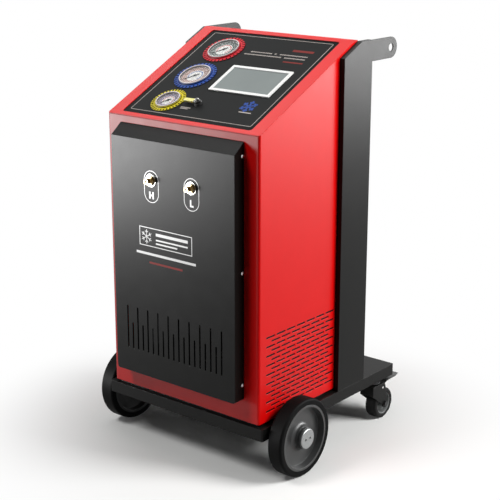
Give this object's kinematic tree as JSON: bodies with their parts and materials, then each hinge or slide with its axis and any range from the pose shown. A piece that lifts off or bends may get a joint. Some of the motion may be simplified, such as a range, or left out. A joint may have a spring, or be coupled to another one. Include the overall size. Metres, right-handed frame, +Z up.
{
  "type": "refrigerant recovery machine",
  "caption": "Wheeled cabinet with a sloping console of gauges and a display, service ports on a front cover, rear shelf, fixed wheels and braked casters, for recovering refrigerant.",
  "frame": {"origin": "on the floor, under the middle of the machine's box", "axes": "+X to the right seen from the front, +Y to the rear, +Z up"},
  "size_m": [0.55, 0.567, 0.9123],
  "materials": {
    "red_paint": "satin powder coat with a fine texture",
    "black_paint": "satin black powder coat with a fine texture",
    "panel_film": "matt printed polyester film",
    "black_plastic": "moulded, fine texture",
    "white_plastic": "moulded, smooth",
    "screen": "dark display glass, switched off",
    "red_rubber": "moulded",
    "blue_rubber": "moulded",
    "yellow_rubber": "moulded",
    "bright_metal": "bright plated",
    "zinc_steel": "zinc plated",
    "dial_white": "printed aluminium dial",
    "needle_black": "painted",
    "lens": "clear",
    "yellow_plastic": "dipped vinyl",
    "port_brass": "turned",
    "tyre_rubber": "solid rubber, satin",
    "wheel_plastic": "moulded, satin",
    "tank_paint": "grey enamel",
    "machine_black": "black enamel",
    "pump_paint": "blue-grey enamel",
    "aluminium": "plain",
    "drier_paint": "green enamel",
    "copper": "drawn copper tube",
    "board_green": "solder mask",
    "fan_plastic": "moulded"
  },
  "bodies": {
    "chassis": {"base_tray": "black_paint", "left_post": "black_paint", "right_post": "black_paint", "frame_bolts": "zinc_steel", "cabinet_shell": "red_paint", "console_top": "red_paint", "rear_panel": "red_paint", "front_cover": "black_paint", "panel_screws": "zinc_steel", "high_side_port": "port_brass", "low_side_port": "port_brass", "port_washers": "bright_metal", "control_panel": "panel_film", "display_frame": "white_plastic", "display_screen": "screen", "red_gauge_boot": "red_rubber", "blue_gauge_boot": "blue_rubber", "yellow_gauge_boot": "yellow_rubber", "red_gauge_case": "bright_metal", "blue_gauge_case": "bright_metal", "yellow_gauge_case": "bright_metal", "gauge_dials": "dial_white", "gauge_lenses": "lens", "bleed_valve": "black_plastic", "bleed_nut": "bright_metal", "wheel_axle": "zinc_steel", "axle_brackets": "black_paint", "axle_caps": "bright_metal", "left_caster_head": "zinc_steel", "right_caster_head": "zinc_steel", "power_inlet": "black_plastic", "recovery_tank": "tank_paint", "tank_scale": "aluminium", "compressor": "machine_black", "vacuum_pump": "pump_paint", "condenser": "machine_black", "fan_motor": "machine_black", "filter_drier": "drier_paint", "valve_manifold": "aluminium", "solenoid_coils": "black_plastic", "control_board": "board_green", "refrigerant_lines": "copper"},
    "left_wheel": {"left_tyre": "tyre_rubber", "left_wheel_disc": "wheel_plastic"},
    "right_wheel": {"right_tyre": "tyre_rubber", "right_wheel_disc": "wheel_plastic"},
    "left_caster": {"left_caster_fork": "black_paint", "left_caster_axle": "zinc_steel"},
    "left_roller": {"left_caster_wheel": "tyre_rubber"},
    "left_pedal": {"left_brake_pedal": "black_paint"},
    "right_caster": {"right_caster_fork": "black_paint", "right_caster_axle": "zinc_steel"},
    "right_roller": {"right_caster_wheel": "tyre_rubber"},
    "right_pedal": {"right_brake_pedal": "black_paint"},
    "red_pointer": {"red_needle": "needle_black"},
    "blue_pointer": {"blue_needle": "needle_black"},
    "yellow_pointer": {"yellow_needle": "needle_black"},
    "bleed_handle": {"bleed_lever": "yellow_plastic"},
    "rocker": {"power_switch": "black_plastic"},
    "fan": {"cooling_fan": "fan_plastic"}
  },
  "joints": [
    {"name": "left_wheel_spin", "type": "hinge", "parent": "chassis", "child": "left_wheel", "pos_m": [-0.25, -0.14448, 0.0875], "axis": [1, 0, 0], "continuous": true},
    {"name": "right_wheel_spin", "type": "hinge", "parent": "chassis", "child": "right_wheel", "pos_m": [0.25, -0.14448, 0.0875], "axis": [1, 0, 0], "continuous": true},
    {"name": "left_caster_swivel", "type": "hinge", "parent": "chassis", "child": "left_caster", "pos_m": [-0.212, 0.19548, 0.091], "axis": [0, 0, 1], "continuous": true},
    {"name": "left_caster_roll", "type": "hinge", "parent": "left_caster", "child": "left_roller", "pos_m": [-0.212, 0.22348, 0.0375], "axis": [1, 0, 0], "continuous": true},
    {"name": "left_brake_press", "type": "hinge", "parent": "left_caster", "child": "left_pedal", "pos_m": [-0.212, 0.21248, 0.0815], "axis": [-1, 0, 0], "range_deg": [0, 10]},
    {"name": "right_caster_swivel", "type": "hinge", "parent": "chassis", "child": "right_caster", "pos_m": [0.212, 0.19548, 0.091], "axis": [0, 0, 1], "continuous": true},
    {"name": "right_caster_roll", "type": "hinge", "parent": "right_caster", "child": "right_roller", "pos_m": [0.212, 0.22348, 0.0375], "axis": [1, 0, 0], "continuous": true},
    {"name": "right_brake_press", "type": "hinge", "parent": "right_caster", "child": "right_pedal", "pos_m": [0.212, 0.21248, 0.0815], "axis": [-1, 0, 0], "range_deg": [0, 10]},
    {"name": "red_needle_turn", "type": "hinge", "parent": "chassis", "child": "red_pointer", "pos_m": [-0.092, 0.01416, 0.87404], "axis": [0, 0.4384, -0.8988], "range_deg": [0, 270]},
    {"name": "blue_needle_turn", "type": "hinge", "parent": "chassis", "child": "blue_pointer", "pos_m": [-0.092, -0.08291, 0.82669], "axis": [0, 0.4384, -0.8988], "range_deg": [0, 270]},
    {"name": "yellow_needle_turn", "type": "hinge", "parent": "chassis", "child": "yellow_pointer", "pos_m": [-0.092, -0.17099, 0.78373], "axis": [0, 0.4384, -0.8988], "range_deg": [0, 270]},
    {"name": "bleed_lever_turn", "type": "hinge", "parent": "chassis", "child": "bleed_handle", "pos_m": [-0.008, -0.16874, 0.78483], "axis": [0, 0.4384, -0.8988], "range_deg": [0, 90]},
    {"name": "power_switch_rock", "type": "hinge", "parent": "chassis", "child": "rocker", "pos_m": [-0.0935, 0.09748, 0.222], "axis": [1, 0, 0], "range_deg": [0, 16]},
    {"name": "fan_spin", "type": "hinge", "parent": "chassis", "child": "fan", "pos_m": [0.149, -0.08548, 0.2285], "axis": [1, 0, 0], "continuous": true}
  ]
}
